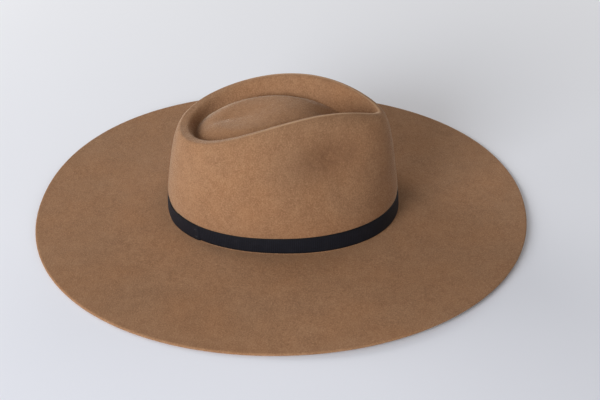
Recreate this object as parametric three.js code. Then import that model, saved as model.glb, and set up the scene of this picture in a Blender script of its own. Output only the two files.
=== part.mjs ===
// A wide-brimmed felt fedora with a teardrop crown, lying on its brim.
//
// Millimetres, +Z up. The front of the hat points to -Y and the wearer's left to +X.
// The origin is the middle of the brim's outline, on the surface that the brim rests on.
// Every ring around the hat uses one angle, phi: 0 at the front, 90 degrees at +X, 180 at the back.

import * as THREE from 'three';
import { mergeVertices } from 'three/addons/utils/BufferGeometryUtils.js';

const { lerp, clamp, smoothstep, degToRad } = THREE.MathUtils;

// ---------------------------------------------------------------- driving dimensions

// The brim: a slightly squared oval, dead flat on two sides and lifted a little on the other two.
const BRIM = {
  halfWidth: 201,
  halfLength: 218,
  squareness: 2.1,
  thickness: 2.5,
  edgeSoftening: 0.6,
  riseAtCrown: 2.4,
  riseEndsAt: 0.55,
  liftMean: 1.2,
  liftWave: 2.6,
  liftSoftening: 0.5,
  liftPhase: degToRad(70),
};

// The head oval where the crown meets the brim, and the wall that rises from it.
const CROWN = {
  halfWidth: 79,
  halfLength: 102.6,
  centreY: -2,
  squareness: 2.17,
  thickness: 2,
  foldRadius: 1.2,
  sideBulge: 7.6,
  shoulder: { back: 12, side: 9.6, front: 12.8 },
  shoulderPower: { back: 2, front: 2.7 },
};

// The crest is the ridge around the top: a teardrop, wide at the back and narrow at the front.
const CREST = {
  width: 46.9,
  teardrop: 11.5,
  halfLength: 84.8,
  centreY: -0.3,
  height: 100.4,
  frontRise: 10.4,
  sideRise: 8.1,
  cheekRise: 2.8,
};

// Inside the crest a moat runs around a raised island, which fades out into a valley at the front.
// Towards the back the crest rolls over more widely and the island rises more gently.
const HOLLOW = {
  moatWidth: 14,
  moatNarrowing: 2.8,
  moatDepth: { back: 9.5, front: 20.3 },
  lipRoll: 2.6,
  islandSlope: 9,
  islandTail: 14,
  islandRise: { back: 9.9, front: -1.6 },
  dome: 3.8,
  domeReach: 45,
  turn: 4,
  spineFrontY: -56.6,
  spineBackY: 45.7,
};

// The two pinches in the front of the crown.
const PINCH = { depth: 6.5, angle: degToRad(60), spread: degToRad(20), height: 0.7, reach: 0.22 };

// The grosgrain band: one length of ribbon whose end laps over its start at the right rear.
const RIBBON = {
  height: 15,
  bottom: 5.7,
  thickness: 0.6,
  gap: 0.35,
  start: degToRad(-145),
  end: degToRad(231.5),
  climbStart: degToRad(198),
  climbEnd: degToRad(211),
  droop: 0.5,
};

// The sweatband and its trim, all measured inwards from the outside of the crown wall.
const SWEATBAND = { inset: 3.25, thickness: 0.8, bottom: 6, top: 40, seamGap: degToRad(0.45) };
const BACKING = { inset: 2.6, thickness: 0.35, bottom: 14, top: 37, halfAngle: degToRad(3.6) };
const REED = { inset: 4.35, height: 3.85, radius: 1.15, sides: 8, gap: degToRad(0.5) };
const TAPE = { thickness: 0.35, clearance: 0.25, tailInset: 2.6, tailTop: 12.5 };
const THREAD = { radius: 0.22, height: 8.6, zigzag: 1, stitches: 72 };
const BOW = { inset: 4.35, thickness: 0.9, height: 17, halfAngle: degToRad(7.5), waist: 1.1, lobe: 3.4 };
const KNOT = { thickness: 0.9, halfAngle: degToRad(1.2), halfHeight: 2.3 };
const LABEL = { inset: 4.35, thickness: 0.25, bottom: 20, top: 33, from: degToRad(197), to: degToRad(211) };
const TACK = { radius: 0.25, heights: { upper: 16.6, lower: 9.2 }, length: degToRad(2), setback: degToRad(1) };

const GAP = 0.3;
const FELT_COLUMNS = 72;
const TRIM_COLUMNS = 48;

// ---------------------------------------------------------------- the shape of the felt

// 1 at the front of the hat, 0 at the back.
const frontness = (phi) => (1 + Math.cos(phi)) / 2;

const ease = (x) => (1 - Math.cos(Math.PI * clamp(x, 0, 1))) / 2;

// A point of a superellipse in the direction phi.
function squaredOval(phi, halfWidth, halfLength, squareness) {
  const across = Math.abs(Math.sin(phi)) ** squareness;
  const along = Math.abs(Math.cos(phi)) ** squareness;
  const k = (across + along) ** (-1 / squareness);
  return new THREE.Vector2(halfWidth * Math.sin(phi) * k, -halfLength * Math.cos(phi) * k);
}

function headOval(phi) {
  const point = squaredOval(phi, CROWN.halfWidth, CROWN.halfLength, CROWN.squareness);
  return point.add(new THREE.Vector2(0, CROWN.centreY));
}

// The outward direction of the head oval, in plan.
function ovalOutward(phi) {
  const across = Math.sin(phi) * CROWN.halfLength;
  const along = -Math.cos(phi) * CROWN.halfWidth;
  return new THREE.Vector2(across, along).normalize();
}

function crestPoint(phi) {
  const x = CREST.width * Math.sin(phi) - CREST.teardrop * Math.sin(2 * phi);
  const y = CREST.centreY - CREST.halfLength * Math.cos(phi);
  const waves = CREST.frontRise * Math.cos(phi) - CREST.sideRise * Math.cos(2 * phi);
  const z = CREST.height + waves - CREST.cheekRise * Math.cos(3 * phi);
  return new THREE.Vector3(x, y, z);
}

// How far the brim's edge is lifted off the table; exactly 0 on two wide stretches.
function brimLift(phi) {
  const lift = Math.max(0, BRIM.liftMean + BRIM.liftWave * Math.cos(2 * phi + BRIM.liftPhase));
  return lift * lift / (lift + BRIM.liftSoftening);
}

// The underside of the brim; out is 0 at the crown and 1 at the cut edge.
function undersideHeight(phi, out) {
  return BRIM.riseAtCrown * (1 - smoothstep(out, 0, BRIM.riseEndsAt)) + brimLift(phi) * out * out;
}

const wallBase = BRIM.riseAtCrown + BRIM.thickness;

function shoulderWidth(phi) {
  const f = frontness(phi);
  const { back, side, front } = CROWN.shoulder;
  return back * (1 - f) ** 2 + 2 * side * f * (1 - f) + front * f ** 2;
}

const shoulderPower = (phi) => lerp(CROWN.shoulderPower.back, CROWN.shoulderPower.front, frontness(phi));

// How deep the front pinches press in at this angle and share of the wall's height.
function pinchDepth(phi, rise) {
  const turned = Math.atan2(Math.sin(phi), Math.cos(phi));
  const across = (Math.abs(turned) - PINCH.angle) / PINCH.spread;
  const up = (rise - PINCH.height) / PINCH.reach;
  return PINCH.depth * Math.exp(-across * across - up * up) * smoothstep(1 - rise, 0, 0.12);
}

// The crown's wall at a share of its height, from 0 at the brim to 1 at the crest.
function wallAtRise(phi, rise) {
  const base = headOval(phi);
  const crest = crestPoint(phi);
  const inwards = new THREE.Vector2(crest.x, crest.y).sub(base);
  const distance = inwards.length();
  const shoulder = shoulderWidth(phi);
  const power = shoulderPower(phi);
  const rounding = 1 - (1 - rise ** power) ** (1 / power);
  const bulge = CROWN.sideBulge * Math.sin(Math.PI * rise) * Math.sin(phi) ** 2;
  const inset = (distance - shoulder) * rise - bulge + shoulder * rounding;
  const point = base.addScaledVector(inwards, inset / distance);
  point.addScaledVector(ovalOutward(phi), -pinchDepth(phi, rise));
  return new THREE.Vector3(point.x, point.y, lerp(wallBase, crest.z, rise));
}

// The hollow top: inward is 0 on the crest and 1 on the spine, the line where the two sides meet.
// There the dome levels off and each line has turned to meet the spine square on, so no crease is left.
function hollowPoint(phi, inward) {
  const f = frontness(phi);
  const crest = crestPoint(phi);
  const spineY = lerp(HOLLOW.spineBackY, HOLLOW.spineFrontY, f);
  const reach = Math.hypot(crest.x, crest.y - spineY);
  const travel = inward * reach;
  const behind = (1 - f) ** 2;
  const width = HOLLOW.moatWidth - HOLLOW.moatNarrowing * behind;
  const span = reach - width;
  const down = clamp(travel / width, 0, 1) ** (1 + HOLLOW.lipRoll * behind);
  const island = (travel - width) / (HOLLOW.islandSlope + HOLLOW.islandTail * behind);
  const sink = lerp(HOLLOW.moatDepth.back, HOLLOW.moatDepth.front, f) * ease(down);
  const climb = Math.sin(clamp(island, 0, 1) * Math.PI / 2);
  const rise = lerp(HOLLOW.islandRise.back, HOLLOW.islandRise.front, f) * climb;
  const swell = Math.sin(clamp((travel - width) / span, 0, 1) * Math.PI / 2);
  const dome = HOLLOW.dome * ease(span / HOLLOW.domeReach) * swell;
  const turned = inward + inward ** HOLLOW.turn * (1 - inward);
  const y = lerp(crest.y, spineY, turned);
  return new THREE.Vector3(crest.x * (1 - inward), y, crest.z - sink + rise + dome);
}

// The crown's outer surface as one strip: t runs 0 to 1 up the wall and 1 to 2 over the hollow top.
function crownPoint(phi, t) {
  if (t >= 1) return hollowPoint(phi, t - 1);
  const power = shoulderPower(phi);
  return wallAtRise(phi, Math.sin(t * Math.PI / 2) ** (2 / power));
}

function crownNormal(phi, t) {
  if (t === 2) return new THREE.Vector3(0, 0, 1);
  const step = 0.01;
  const around = crownPoint(phi + step, t).sub(crownPoint(phi - step, t));
  const up = crownPoint(phi, t + step).sub(crownPoint(phi, Math.max(0, t - step)));
  return around.cross(up).normalize();
}

const crownInside = (phi, t) => crownPoint(phi, t).addScaledVector(crownNormal(phi, t), -CROWN.thickness);

// A point of the brim: out is 0 at the crown's wall and 1 at the cut edge.
function brimPoint(phi, out, z, edgeInset = 0) {
  const base = headOval(phi);
  const edge = squaredOval(phi, BRIM.halfWidth - edgeInset, BRIM.halfLength - edgeInset, BRIM.squareness);
  const point = base.lerp(edge, out);
  return new THREE.Vector3(point.x, point.y, z);
}

// A quarter round where the wall turns into the brim, on a circle around the fold.
function foldPoint(phi, radius, inset, height, turn) {
  const base = headOval(phi);
  base.addScaledVector(ovalOutward(phi), -inset + radius * (1 - Math.sin(turn)));
  return new THREE.Vector3(base.x, base.y, height + radius * (1 - Math.cos(turn)));
}

// ---------------------------------------------------------------- solids

// Turns a grid of points into a closed body: rings[i][j], where each ring is one cross-section.
function loft(rings, { ringsClosed, sectionClosed, caps = [] }) {
  const perRing = rings[0].length;
  const indices = [];
  const ringSteps = ringsClosed ? rings.length : rings.length - 1;
  const sectionSteps = sectionClosed ? perRing : perRing - 1;
  for (let i = 0; i < ringSteps; i += 1) {
    const here = i * perRing;
    const next = ((i + 1) % rings.length) * perRing;
    for (let j = 0; j < sectionSteps; j += 1) {
      const k = (j + 1) % perRing;
      indices.push(here + j, next + j, next + k, here + j, next + k, here + k);
    }
  }
  const lastRing = (rings.length - 1) * perRing;
  for (const [a, b, c] of caps) {
    indices.push(a, b, c, lastRing + a, lastRing + c, lastRing + b);
  }
  const positions = rings.flat().flatMap((point) => point.toArray());
  const geometry = new THREE.BufferGeometry();
  geometry.setAttribute('position', new THREE.Float32BufferAttribute(positions, 3));
  geometry.setIndex(indices);
  return facingOut(mergeVertices(geometry, 1e-4));
}

// Six times the signed volume tells which way the faces point.
function facingOut(geometry) {
  const position = geometry.getAttribute('position');
  const index = geometry.getIndex();
  const corners = [new THREE.Vector3(), new THREE.Vector3(), new THREE.Vector3()];
  let volume = 0;
  for (let i = 0; i < index.count; i += 3) {
    corners.forEach((corner, k) => corner.fromBufferAttribute(position, index.getX(i + k)));
    volume += corners[0].dot(corners[1].clone().cross(corners[2]));
  }
  if (volume < 0) {
    for (let i = 0; i < index.count; i += 3) {
      const swapped = index.getX(i + 1);
      index.setX(i + 1, index.getX(i + 2));
      index.setX(i + 2, swapped);
    }
  }
  geometry.computeVertexNormals();
  return geometry;
}

const steps = (count, from, to) => Array.from({ length: count }, (_, i) => lerp(from, to, i / (count - 1)));

// The wall at a height in millimetres, moved inwards (or outwards, if inset is negative).
function wallSpot(phi, inset, z) {
  const rise = clamp((z - wallBase) / (crestPoint(phi).z - wallBase), 0, 1);
  const wall = wallAtRise(phi, rise);
  const outward = ovalOutward(phi);
  return new THREE.Vector3(wall.x - outward.x * inset, wall.y - outward.y * inset, z);
}

// A strip that follows the crown's wall. outline(phi) gives its cross-section as [inset, height] pairs.
function wallStrip(angles, outline, endless = false) {
  const rings = angles.map((phi) => outline(phi).map(([inset, z]) => wallSpot(phi, inset, z)));
  if (endless) return loft(rings, { ringsClosed: true, sectionClosed: true });
  return loft(rings, { ringsClosed: false, sectionClosed: true, caps: capFaces(outline(angles[0])) });
}

// Triangles that fill a cross-section, wound the same way as its outline.
function capFaces(outline) {
  const flat = outline.map(([inset, z]) => new THREE.Vector2(inset, z));
  const winding = Math.sign(THREE.ShapeUtils.area(flat));
  return THREE.ShapeUtils.triangulateShape(flat, []).map((face) => {
    const faceWinding = Math.sign(THREE.ShapeUtils.area(face.map((i) => flat[i])));
    return faceWinding === winding ? face : [...face].reverse();
  });
}

// A four-cornered section, with extra points up its height so that it can follow the wall.
function slab(inset, thickness, bottom, top, rows = 2) {
  const heights = steps(rows, bottom, top);
  const outer = heights.map((z) => [inset, z]);
  const inner = heights.map((z) => [inset + thickness, z]).reverse();
  return [...outer, ...inner];
}

function circle(inset, height, radius, sides, from = 0, to = 2 * Math.PI) {
  const full = to - from >= 2 * Math.PI;
  const turns = full ? steps(sides + 1, from, to).slice(0, -1) : steps(sides, from, to);
  return turns.map((turn) => [inset + radius * Math.cos(turn), height + radius * Math.sin(turn)]);
}

// ---------------------------------------------------------------- sub-parts

// Crown and brim are one piece of blocked felt: each cross-section runs from the spine over the
// crest, down the wall, out along the brim, around the cut edge and back along the inside.
function feltSection(phi) {
  const hollow = steps(15, 2, 1);
  const wall = steps(9, 1, 0.0).slice(1, -1);
  const quarter = [Math.PI / 2, Math.PI / 4, 0];
  const outerFold = quarter.map((turn) => foldPoint(phi, CROWN.foldRadius, 0, wallBase, turn));
  const innerRadius = CROWN.foldRadius + CROWN.thickness;
  const innerFold = quarter.map((turn) => (
    foldPoint(phi, innerRadius, CROWN.thickness, BRIM.riseAtCrown, turn)
  )).reverse();
  const top = [0.12, 0.3, 0.55, 0.78].map((out) => (
    brimPoint(phi, out, undersideHeight(phi, out) + BRIM.thickness)
  ));
  const under = [0.78, 0.55, 0.3, 0.12].map((out) => brimPoint(phi, out, undersideHeight(phi, out)));
  const edgeLow = undersideHeight(phi, 1);
  const edgeHigh = edgeLow + BRIM.thickness;
  const soft = BRIM.edgeSoftening;
  const edge = [
    brimPoint(phi, 1, edgeHigh, soft),
    brimPoint(phi, 1, edgeHigh - soft),
    brimPoint(phi, 1, edgeLow + soft),
    brimPoint(phi, 1, edgeLow, soft),
  ];
  return [
    ...hollow.map((t) => crownPoint(phi, t)),
    ...wall.map((t) => crownPoint(phi, t)),
    ...outerFold,
    ...top,
    ...edge,
    ...under,
    ...innerFold,
    ...steps(7, 0, 1).slice(1).map((t) => crownInside(phi, t)),
    ...steps(11, 1, 2).slice(1).map((t) => crownInside(phi, t)),
  ];
}

function feltBody() {
  const angles = steps(FELT_COLUMNS + 1, 0, 2 * Math.PI).slice(0, -1);
  return loft(angles.map(feltSection), { ringsClosed: true, sectionClosed: false });
}

// How far the ribbon stands off the wall; its last stretch climbs over its own start.
function ribbonOffset(phi) {
  const climb = smoothstep(phi, RIBBON.climbStart, RIBBON.climbEnd);
  return RIBBON.gap + climb * (RIBBON.thickness + GAP);
}

function hatBand() {
  const step = 2 * Math.PI / FELT_COLUMNS;
  const count = Math.round((RIBBON.end - RIBBON.start) / step) + 1;
  return wallStrip(steps(count, RIBBON.start, RIBBON.end), (phi) => {
    const offset = ribbonOffset(phi);
    const bottom = RIBBON.bottom - RIBBON.droop * smoothstep(phi, RIBBON.climbStart, RIBBON.end);
    return slab(-offset - RIBBON.thickness, RIBBON.thickness, bottom, bottom + RIBBON.height);
  });
}

// A bar of thread that tacks the lapped end down.
function bandTack(height) {
  const end = RIBBON.end - TACK.setback;
  const inset = -(ribbonOffset(end) + RIBBON.thickness + GAP + TACK.radius);
  return wallStrip(steps(4, end - TACK.length, end), () => circle(inset, height, TACK.radius, 6));
}

const openRing = (count, gap) => steps(count, Math.PI + gap, 3 * Math.PI - gap);

function sweatband() {
  const { inset, thickness, bottom, top, seamGap } = SWEATBAND;
  return wallStrip(openRing(TRIM_COLUMNS + 1, seamGap), () => slab(inset, thickness, bottom, top, 4));
}

function seamBacking() {
  const { inset, thickness, bottom, top, halfAngle } = BACKING;
  const angles = steps(5, Math.PI - halfAngle, Math.PI + halfAngle);
  return wallStrip(angles, () => slab(inset, thickness, bottom, top, 3));
}

function reed() {
  return wallStrip(openRing(TRIM_COLUMNS + 1, REED.gap), () => (
    circle(REED.inset, REED.height, REED.radius, REED.sides)
  ));
}

// The tape hooks around the reed and has a tail that stands up behind the sweatband.
function reedTape() {
  const inner = REED.radius + TAPE.clearance;
  const outer = inner + TAPE.thickness;
  const lip = degToRad(395);
  const tail = Math.PI;
  const outside = circle(REED.inset, REED.height, outer, 8, tail, lip);
  const inside = circle(REED.inset, REED.height, inner, 8, tail, lip).reverse();
  const outline = [
    [TAPE.tailInset, TAPE.tailTop],
    ...outside,
    ...inside,
    [TAPE.tailInset + TAPE.thickness, TAPE.tailTop],
  ];
  return wallStrip(openRing(TRIM_COLUMNS + 1, REED.gap), () => outline);
}

// One thread, zigzagging all the way around, holds sweatband, tape and felt together.
function sweatbandStitching() {
  const inset = SWEATBAND.inset + SWEATBAND.thickness + GAP + THREAD.radius;
  const angles = steps(2 * THREAD.stitches + 1, 0, 2 * Math.PI).slice(0, -1);
  const pitch = Math.PI / THREAD.stitches;
  return wallStrip(angles, (phi) => {
    const side = Math.round(phi / pitch) % 2 === 0 ? 1 : -1;
    return circle(inset, THREAD.height + side * THREAD.zigzag, THREAD.radius, 4);
  }, true);
}

// Two flat loops, narrow at the waist where the knot crosses them.
function bowLoops() {
  const angles = steps(13, Math.PI - BOW.halfAngle, Math.PI + BOW.halfAngle);
  return wallStrip(angles, (phi) => {
    const out = Math.abs(phi - Math.PI) / BOW.halfAngle;
    const half = BOW.waist + (BOW.lobe - BOW.waist) * Math.sin(Math.PI * Math.min(out, 0.92)) ** 0.7;
    return slab(BOW.inset, BOW.thickness, BOW.height - half, BOW.height + half);
  });
}

function bowKnot() {
  const inset = BOW.inset + BOW.thickness + GAP;
  const angles = steps(5, Math.PI - KNOT.halfAngle, Math.PI + KNOT.halfAngle);
  return wallStrip(angles, (phi) => {
    const out = Math.abs(phi - Math.PI) / KNOT.halfAngle;
    const thickness = KNOT.thickness * Math.cos(0.9 * out);
    return slab(inset, thickness, BOW.height - KNOT.halfHeight, BOW.height + KNOT.halfHeight);
  });
}

function sizeLabel() {
  const { inset, thickness, bottom, top, from, to } = LABEL;
  return wallStrip(steps(5, from, to), () => slab(inset, thickness, bottom, top, 3));
}

// ---------------------------------------------------------------- the hat

const MATERIALS = {
  felt: new THREE.MeshStandardMaterial({ color: 0xa37b58, roughness: 0.95, metalness: 0 }),
  grosgrain: new THREE.MeshStandardMaterial({ color: 0x1b1b20, roughness: 0.7, metalness: 0 }),
  leather: new THREE.MeshStandardMaterial({ color: 0x6b432a, roughness: 0.55, metalness: 0 }),
  plastic: new THREE.MeshStandardMaterial({ color: 0xcfcabd, roughness: 0.5, metalness: 0 }),
  tape: new THREE.MeshStandardMaterial({ color: 0x4a3223, roughness: 0.85, metalness: 0 }),
  label: new THREE.MeshStandardMaterial({ color: 0xe4ddcf, roughness: 0.8, metalness: 0 }),
};

const hat = new THREE.Group();

function add(name, geometry, material) {
  const mesh = new THREE.Mesh(geometry, material);
  mesh.name = name;
  hat.add(mesh);
}

add('felt_body', feltBody(), MATERIALS.felt);
add('hat_band', hatBand(), MATERIALS.grosgrain);
for (const [place, height] of Object.entries(TACK.heights)) {
  add(`band_tack_${place}`, bandTack(height), MATERIALS.grosgrain);
}
add('sweatband', sweatband(), MATERIALS.leather);
add('sweatband_seam_backing', seamBacking(), MATERIALS.tape);
add('sweatband_reed', reed(), MATERIALS.plastic);
add('reed_tape', reedTape(), MATERIALS.tape);
add('sweatband_stitching', sweatbandStitching(), MATERIALS.tape);
add('rear_bow_loops', bowLoops(), MATERIALS.grosgrain);
add('rear_bow_knot', bowKnot(), MATERIALS.grosgrain);
add('size_label', sizeLabel(), MATERIALS.label);

export default hat;
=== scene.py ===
"""A wide-brimmed felt fedora with a teardrop crown: its fine pieces and finishes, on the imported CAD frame."""

import math

import bmesh
import bpy
import numpy as np
from mathutils import Matrix, Vector


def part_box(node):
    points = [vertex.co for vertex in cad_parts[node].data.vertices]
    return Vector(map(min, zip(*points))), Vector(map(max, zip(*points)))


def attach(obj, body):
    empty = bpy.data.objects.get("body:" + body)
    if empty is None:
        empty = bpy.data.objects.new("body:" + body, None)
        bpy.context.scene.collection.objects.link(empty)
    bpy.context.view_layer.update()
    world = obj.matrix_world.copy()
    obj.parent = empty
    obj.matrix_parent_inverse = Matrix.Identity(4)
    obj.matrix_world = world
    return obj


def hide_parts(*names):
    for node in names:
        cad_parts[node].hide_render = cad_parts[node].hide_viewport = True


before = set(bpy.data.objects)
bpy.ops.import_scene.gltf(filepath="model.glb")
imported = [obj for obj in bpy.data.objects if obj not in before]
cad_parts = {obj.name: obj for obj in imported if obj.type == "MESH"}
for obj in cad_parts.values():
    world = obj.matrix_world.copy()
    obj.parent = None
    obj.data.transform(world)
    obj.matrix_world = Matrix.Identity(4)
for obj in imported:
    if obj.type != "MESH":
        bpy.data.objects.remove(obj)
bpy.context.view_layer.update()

# ------------------------------------------------------------------ driving dimensions
# Shapes are worked out in millimetres and turned into metres when a mesh is made.
# The angle phi goes around the hat: 0 at the front (-Y), a quarter turn at +X, a half turn at the back.
# Values in brackets that change around the hat are given from its back to its front. The two ovals are
# given by half their width and half their length.

MM = 0.001
BODY = "root"


def box_mm(node):
    """A CAD node's lowest and highest corners, in millimetres."""
    low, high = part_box(node)
    return np.array(low) / MM, np.array(high) / MM


felt_low, felt_high = box_mm("felt_body")
band_low, band_high = box_mm("hat_band")
sweat_low, sweat_high = box_mm("sweatband")
reed_low, reed_high = box_mm("sweatband_reed")
tape_high = box_mm("reed_tape")[1]
backing_low, backing_high = box_mm("sweatband_seam_backing")
bow_low, bow_high = box_mm("rear_bow_loops")
label_low, label_high = box_mm("size_label")

# The brim: a squared oval that rises towards the crown, with a slow wave of its edge off the table.
BRIM_HALF = (felt_high[:2] - felt_low[:2]) / 2
BRIM_SQUARENESS = 2.1
BRIM_THICKNESS = 2.5
BRIM_EDGE_ROUND = 0.9
BRIM_RISE = 2.4
BRIM_RISE_END = 0.55
LIFT_MEAN, LIFT_WAVE, LIFT_SOFT, LIFT_PHASE = 1.2, 2.6, 0.5, math.radians(70)

# The crown's wall, which leans in from the head oval at its foot to the crest.
CROWN_HALF = np.array([79.0, 102.6])
CROWN_CENTRE_Y = -2.0
CROWN_SQUARENESS = 2.17
CROWN_THICKNESS = 2.0
FOLD_RADIUS = 1.2
SIDE_BULGE = 7.6
SHOULDER = (12.0, 9.6, 12.8)
SHOULDER_POWER = (2.0, 2.7)
WALL_BASE = BRIM_RISE + BRIM_THICKNESS

# The crest, the ridge around the top; its height waves once, twice and three times around the hat.
CREST_WIDTH, CREST_TEARDROP = 46.9, 11.5
CREST_HALF_LENGTH, CREST_CENTRE_Y = 84.8, -0.3
CREST_TOP = felt_high[2]
CREST_DROP = 12.25
CREST_MEAN = CREST_TOP - CREST_DROP
CREST_WAVES = (10.4, -8.1, -2.8)

# Inside the crest a moat runs around a raised island, which fades into a valley at the front.
MOAT_WIDTH, MOAT_NARROWING = 14.0, 2.8
MOAT_DEPTH = (9.5, 20.3)
LIP_ROLL = 2.6
ISLAND_SLOPE, ISLAND_TAIL = 9.0, 14.0
ISLAND_RISE = (9.9, -1.6)
DOME, DOME_REACH = 3.8, 45.0
SPINE_Y = (45.7, -56.6)
SPINE_TURN = 4

PINCH_DEPTH, PINCH_ANGLE, PINCH_SPREAD = 6.5, math.radians(60), math.radians(20)
PINCH_HEIGHT, PINCH_REACH, PINCH_FADE = 0.7, 0.22, 0.12

# Where hands hold the felt it is rumpled and darker: partly grime, partly painted shade in the pinch dents.
# Each rumple is a wavelength, a height and a seed.
HANDLED_AND_SHADED_HEIGHT, HANDLED_AND_SHADED_REACH = 0.72 * CREST_TOP, 13.0
RUMPLES = ((8.0, 0.16, 4), (4.0, 0.07, 7))
# Pale felt lies on the front part of the crest, partly wear and partly a painted highlight, and on the brim's
# cut edge as wear.
WEAR_AND_HIGHLIGHT_FROM, WEAR_AND_HIGHLIGHT_TO = 0.15, 0.6
CREST_WEAR_AND_HIGHLIGHT_INSIDE, CREST_WEAR_AND_HIGHLIGHT_OUTSIDE, EDGE_WEAR = 0.025, 0.03, 0.05

# The ribbon; its end laps over its own start between the angles in CLIMB and is pressed down there.
LAP_START, LAP_END = math.radians(-145), math.radians(231.5)
CLIMB = (math.radians(198), math.radians(211))
LAP_DROOP, LAP_PRESS, LAP_PRESSED_IN, LAP_CLEARANCE = 0.5, math.radians(1.6), 0.5, 0.25
RIBBON_HEIGHT = band_high[2] - band_low[2] - LAP_DROOP
RIBBON_BOTTOM = band_high[2] - RIBBON_HEIGHT
RIBBON_THICKNESS, RIBBON_GAP, RIBBON_CROWNING = 0.6, 0.2, 0.12
RIB_PITCH, RIB_DEPTH, RIB_SCALLOP, RIB_POINTS = 1.6, 0.16, 0.08, 4
SELVEDGE_WIDTH, SELVEDGE_SHADE = 0.5, 1.1
FELT_SWELL, SWELL_RISE, SWELL_FALL = 0.8, (-1, 3), (4, 32)
TACK_HEIGHTS, TACK_LENGTH, TACK_SETBACK = (16.6, 9.2), math.radians(2), math.radians(1)
STRAND_RADIUS, STRAND_SPACING, STRAND_SLANT, STRAND_ARCH, STRAND_POINTS = 0.13, 0.26, 0.25, 0.18, 13

# The trim inside the head opening. An inset is measured inwards from the crown's outer surface.
SWEAT_INSET, SWEAT_THICKNESS, SEAM_GAP = 3.25, 0.8, math.radians(0.45)
SWEAT_CLEARANCE, SLOW_WAVE, FAST_WAVE = 0.05, (0.12, 7), (0.06, 19)
GROOVE_DROP, GROOVE_DEPTH, GROOVE_WIDTH = 2.2, 0.16, 0.28
REED_INSET, REED_RADIUS, REED_GAP = 4.35, 1.15, math.radians(0.5)
REED_HEIGHT = (reed_low[2] + reed_high[2]) / 2
TAPE_CLEARANCE, TAPE_THICKNESS, TAPE_LIP = 0.25, 0.35, math.radians(395)
BACKING_INSET, BACKING_THICKNESS, BACKING_HALF_ANGLE = 2.6, 0.35, math.radians(3.6)
THREAD_RADIUS, THREAD_HEIGHT, THREAD_ZIGZAG, THREAD_DIP, STITCHES = 0.22, 8.6, 1.0, 0.3, 72
SEAM_CROSSINGS, SEAM_HALF_ANGLE, SEAM_THREAD_RADIUS = 22, math.radians(1.1), 0.16
SEAM_START, SEAM_MARGIN, SEAM_STAND_OFF, SEAM_DIP = 7.0, 8.0, 0.12, 0.25
BOW_INSET, BOW_DEPTH, BOW_HALF_ANGLE = 4.35, 0.9, math.radians(7.5)
BOW_HEIGHT = (bow_low[2] + bow_high[2]) / 2
BOW_WAIST, BOW_LOBE, BOW_LAYER = 1.1, 3.4, 0.32
LOOP_PUFF, LOOP_GATHER, LOOP_POINTS = 0.22, 0.09, 22
KNOT_INSET, KNOT_DEPTH, KNOT_HALF_ANGLE, KNOT_HALF_HEIGHT = 5.4, 0.9, math.radians(1.2), 2.3
LABEL_INSET, LABEL_THICKNESS, LABEL_SPAN = 4.2, 0.3, (math.radians(197), math.radians(211))
LABEL_HEM, LABEL_CURL = 0.1, 0.25
TRIM_COLUMNS = 240
REAR = math.pi

# How finely the felt is drawn: columns around the hat, and rows along its section. The wall and the
# hollow each have CROWN_ROWS rows.
FELT_COLUMNS, CROWN_ROWS = 300, 57
FOLD_ROWS, BRIM_ROWS, EDGE_ROWS, UNDERSIDE_ROWS, INNER_WALL_ROWS, INNER_HOLLOW_ROWS = 6, 44, 9, 34, 25, 33
BRIM_FIRST, BRIM_LAST = 0.03, 0.985


# ------------------------------------------------------------------ the shape of the felt

def clamp01(x):
    return np.clip(x, 0, 1)


def ease(x):
    """A cosine ramp from 0 to 1."""
    return (1 - np.cos(np.pi * clamp01(x))) / 2


def smoothstep(x, low, high):
    t = clamp01((x - low) / (high - low))
    return t * t * (3 - 2 * t)


def frontness(phi):
    """1 at the front of the hat, 0 at the back."""
    return (1 + np.cos(phi)) / 2


def between(pair, f):
    """The first value of the pair where f is 0, the second where f is 1."""
    return pair[0] + (pair[1] - pair[0]) * f


def squared_oval(phi, half, squareness):
    """An oval in plan; a squareness of 2 is an ellipse."""
    k = (np.abs(np.sin(phi)) ** squareness + np.abs(np.cos(phi)) ** squareness) ** (-1 / squareness)
    return np.stack([half[0] * np.sin(phi) * k, -half[1] * np.cos(phi) * k], -1)


def head_oval(phi):
    """The crown's outline at its foot, in plan."""
    return squared_oval(phi, CROWN_HALF, CROWN_SQUARENESS) + [0, CROWN_CENTRE_Y]


def oval_outward(phi):
    """The outward direction of the head oval, in plan."""
    n = np.stack([np.sin(phi) * CROWN_HALF[1], -np.cos(phi) * CROWN_HALF[0]], -1)
    return n / np.linalg.norm(n, axis=-1, keepdims=True)


def crest_point(phi):
    """The ridge around the top of the crown, a teardrop in plan."""
    x = CREST_WIDTH * np.sin(phi) - CREST_TEARDROP * np.sin(2 * phi)
    y = CREST_CENTRE_Y - CREST_HALF_LENGTH * np.cos(phi)
    z = CREST_MEAN + sum(a * np.cos((k + 1) * phi) for k, a in enumerate(CREST_WAVES))
    return np.stack([x, y, z], -1)


def brim_lift(phi):
    """How far the brim's edge stands off the table: nothing along two wide stretches."""
    lift = np.maximum(0, LIFT_MEAN + LIFT_WAVE * np.cos(2 * phi + LIFT_PHASE))
    return lift * lift / (lift + LIFT_SOFT)


def underside_height(phi, out):
    """The brim's underside: out is 0 at the crown's foot and 1 at the edge."""
    return BRIM_RISE * (1 - smoothstep(out, 0, BRIM_RISE_END)) + brim_lift(phi) * out * out


def across_pinch(phi):
    """How far an angle is from the middle of the pinch on its side, in spreads."""
    turned = np.abs(np.arctan2(np.sin(phi), np.cos(phi)))
    return (turned - PINCH_ANGLE) / PINCH_SPREAD


def pinch_depth(phi, rise):
    """How deep the two front pinches press in."""
    up = (rise - PINCH_HEIGHT) / PINCH_REACH
    return PINCH_DEPTH * np.exp(-across_pinch(phi) ** 2 - up ** 2) * smoothstep(1 - rise, 0, PINCH_FADE)


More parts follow.
